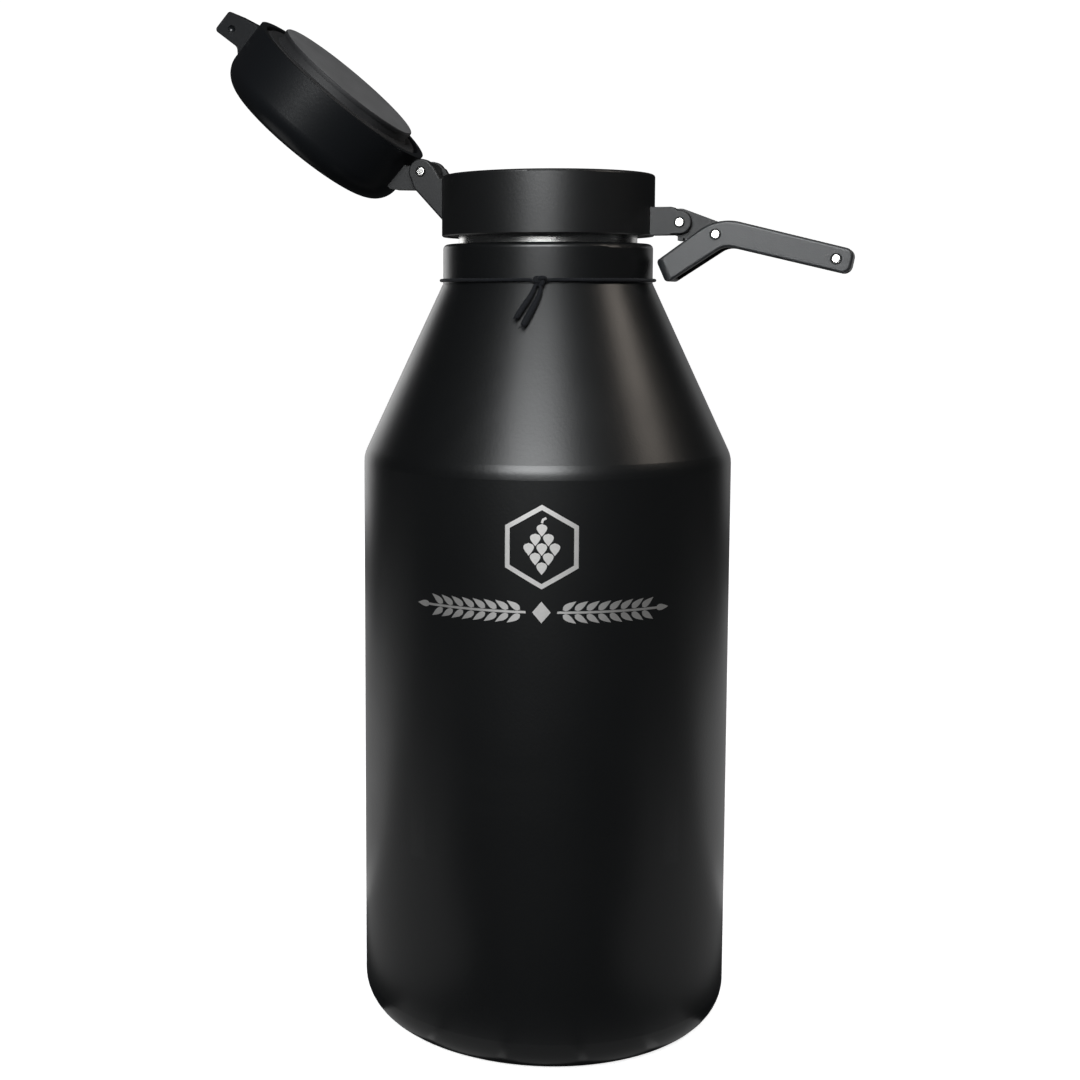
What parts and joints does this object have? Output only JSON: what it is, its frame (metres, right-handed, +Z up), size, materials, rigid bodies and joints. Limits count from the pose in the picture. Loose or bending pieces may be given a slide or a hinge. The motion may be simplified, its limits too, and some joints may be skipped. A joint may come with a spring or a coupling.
{
  "type": "growler",
  "caption": "Insulated steel growler: vacuum-walled bottle with a cone shoulder, a screw-on collar, a hinged insulated cap and an over-centre lever latch, standing open.",
  "frame": {"origin": "centre of the foot, on the surface it stands on", "axes": "+Z up along the bottle's axis, +X from the cap hinge towards the latch, +Y completes the right-handed frame"},
  "size_m": [0.207, 0.118, 0.3268],
  "materials": {
    "powder_coat": "satin black powder coat",
    "bare_steel": "turned stainless steel",
    "dark_bracket": "dark grey satin coat",
    "pin_steel": "polished stainless pin",
    "black_plastic": "matte",
    "grey_plastic": "fine matte",
    "black_silicone": "matte silicone",
    "black_rubber": "matte rubber",
    "foam": "foamed polyurethane",
    "solder_glass": "fused bead",
    "getter_metal": "sintered",
    "elastic_cord": "braided elastic"
  },
  "bodies": {
    "bottle": {"outer_shell": "powder_coat", "outer_base": "powder_coat", "vacuum_seal": "solder_glass", "base_disc": "black_rubber", "inner_vessel": "bare_steel", "inner_bottom": "bare_steel", "getter": "getter_metal", "threaded_neck": "bare_steel", "tie_cord": "elastic_cord", "tie_knot": "elastic_cord", "tie_tail_left": "elastic_cord", "tie_tail_right": "elastic_cord"},
    "lid_carrier": {"neck_gasket": "black_silicone"},
    "collar": {"collar_sleeve": "powder_coat", "collar_liner": "black_plastic", "hinge_bracket": "dark_bracket", "hinge_pin": "pin_steel", "latch_bracket": "dark_bracket", "latch_pin": "pin_steel"},
    "cap": {"cap_shell": "powder_coat", "cap_hinge_arm": "dark_bracket", "cap_plug": "grey_plastic", "cap_seal": "black_silicone", "cap_insulation": "foam"},
    "link": {"latch_link": "dark_bracket"},
    "lever": {"latch_lever": "dark_bracket", "link_pin": "pin_steel", "link_spacers": "pin_steel", "lever_detents": "pin_steel"}
  },
  "joints": [
    {"name": "lid_lift", "type": "slide", "parent": "bottle", "child": "lid_carrier", "axis": [0, 0, 1], "range_m": [0, 0.008]},
    {"name": "lid_turn", "type": "hinge", "parent": "lid_carrier", "child": "collar", "pos_m": [0, 0, 0.26], "axis": [0, 0, 1], "range_deg": [0, 721]},
    {"name": "cap_hinge", "type": "hinge", "parent": "collar", "child": "cap", "pos_m": [-0.0401, 0, 0.273], "axis": [0, 1, 0], "range_deg": [0, 138.3]},
    {"name": "link_swing", "type": "hinge", "parent": "collar", "child": "link", "pos_m": [0.04273, 0, 0.25598], "axis": [0, 1, 0], "range_deg": [0, 76.5]},
    {"name": "lever_swing", "type": "hinge", "parent": "link", "child": "lever", "pos_m": [0.05415, 0, 0.25205], "axis": [0, -1, 0], "range_deg": [0, 179.2]}
  ],
  "couplings": [
    {"joint": "lid_turn", "follows": "lid_lift", "rad_per_m": 1570.8},
    {"joint": "lever_swing", "follows": "link_swing", "ratio": 2.3373}
  ]
}
